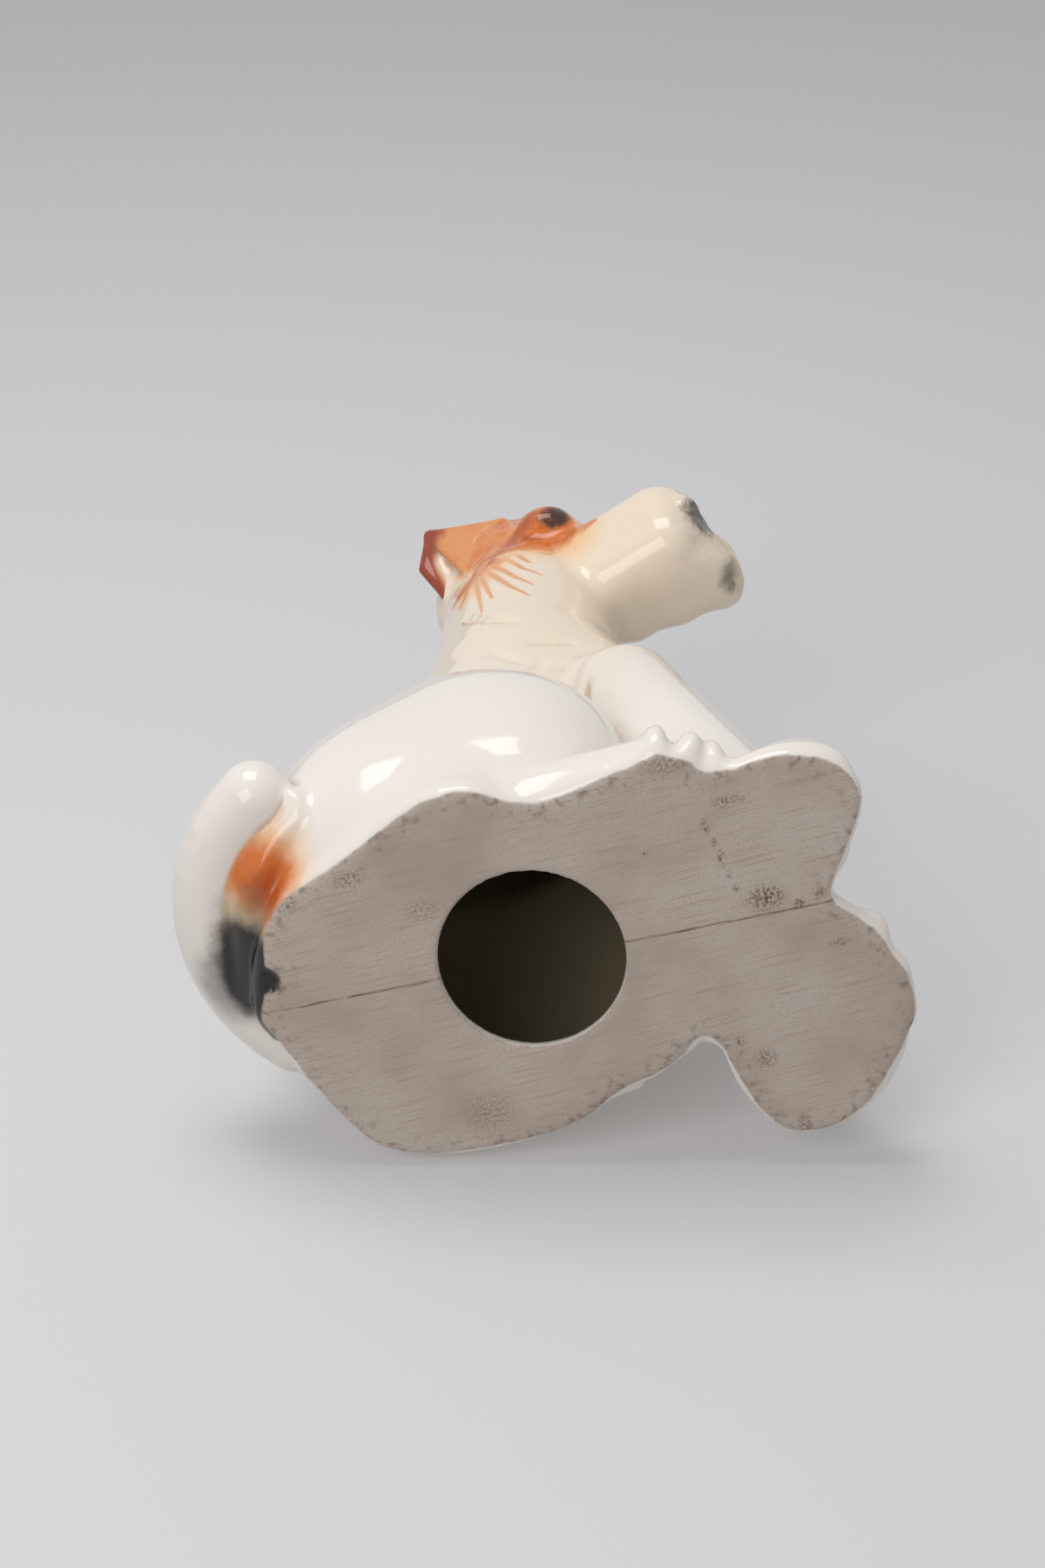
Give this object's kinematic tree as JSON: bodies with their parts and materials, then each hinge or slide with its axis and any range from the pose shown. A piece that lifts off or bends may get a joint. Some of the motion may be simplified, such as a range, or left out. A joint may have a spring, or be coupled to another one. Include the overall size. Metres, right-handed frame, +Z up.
{
  "type": "dog figurine",
  "caption": "Hollow glazed porcelain dog sitting upright with its head turned, on a flat unglazed base with an open oval vent hole.",
  "frame": {"origin": "middle of the overall box, at the plane of the flat base that the figurine stands on", "axes": "+Z up from the base to the head, -Y the way the body faces, +X the dog's own left side"},
  "size_m": [0.1064, 0.1554, 0.2051],
  "materials": {
    "white_glaze": "glossy clear glaze over white porcelain, bare matt porcelain under the base",
    "orange_glaze": "orange-brown underglaze painted with brush strokes, glossy clear glaze"
  },
  "bodies": {
    "root": {"body_right_half": "white_glaze", "body_left_half": "white_glaze", "head_right_half": "white_glaze", "head_left_half": "white_glaze", "right_ear": "orange_glaze", "left_ear": "orange_glaze", "tail": "white_glaze"}
  },
  "joints": []
}
